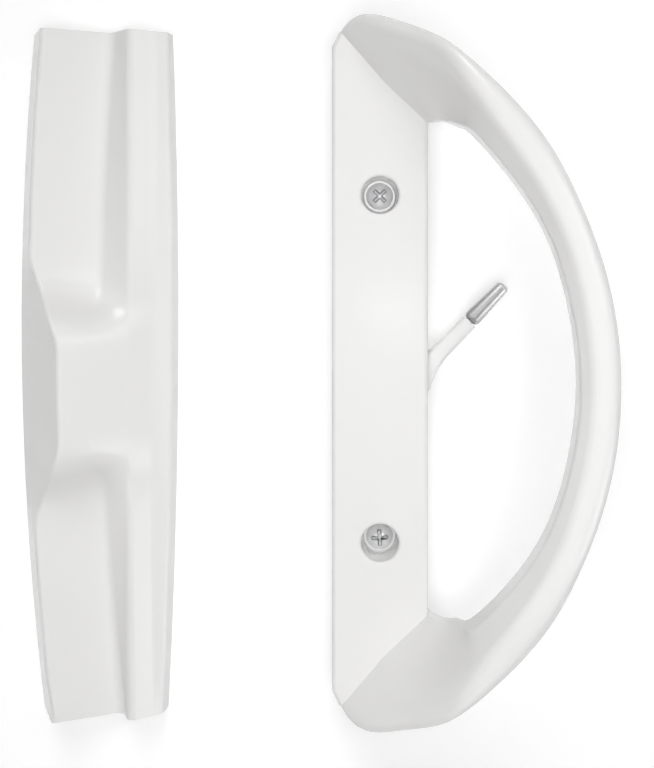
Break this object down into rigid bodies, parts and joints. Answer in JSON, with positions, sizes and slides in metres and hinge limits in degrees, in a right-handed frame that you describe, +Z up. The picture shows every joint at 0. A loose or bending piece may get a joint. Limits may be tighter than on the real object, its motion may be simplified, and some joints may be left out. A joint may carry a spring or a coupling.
{
  "type": "patio door handle set",
  "caption": "Sliding patio door handle set: a D-shaped interior handle with a thumb latch lever, and a low exterior finger pull with a raised middle.",
  "frame": {"origin": "middle of the two mounting screws of the interior handle, on the door plane at the back of the base", "axes": "+Z up the door along both pieces, +X to the right seen from the room, +Y into the door along the screws"},
  "size_m": [0.1675, 0.1064, 0.2038],
  "materials": {
    "white_paint": "gloss white baked paint on die-cast zinc",
    "plated_steel": "bright plated, cross recess",
    "tip_metal": "grey metal, satin",
    "zinc_steel": "zinc plated sheet",
    "spring_steel": "tempered spring steel",
    "nylon": "natural nylon",
    "brass_insert": "turned brass"
  },
  "bodies": {
    "handle_set": {"interior_handle": "white_paint", "mounting_screws": "plated_steel", "retainer_plate": "zinc_steel", "retainer_screws": "plated_steel", "lever_bush": "nylon", "spring_washer": "spring_steel", "exterior_pull": "white_paint", "threaded_inserts": "brass_insert"},
    "lever": {"thumb_lever": "white_paint", "lever_tip": "tip_metal", "tailpiece": "zinc_steel"}
  },
  "joints": [
    {"name": "latch_turn", "type": "hinge", "parent": "handle_set", "child": "lever", "pos_m": [0, 0, -0.014], "axis": [0, 1, 0], "range_deg": [0, 90]}
  ]
}
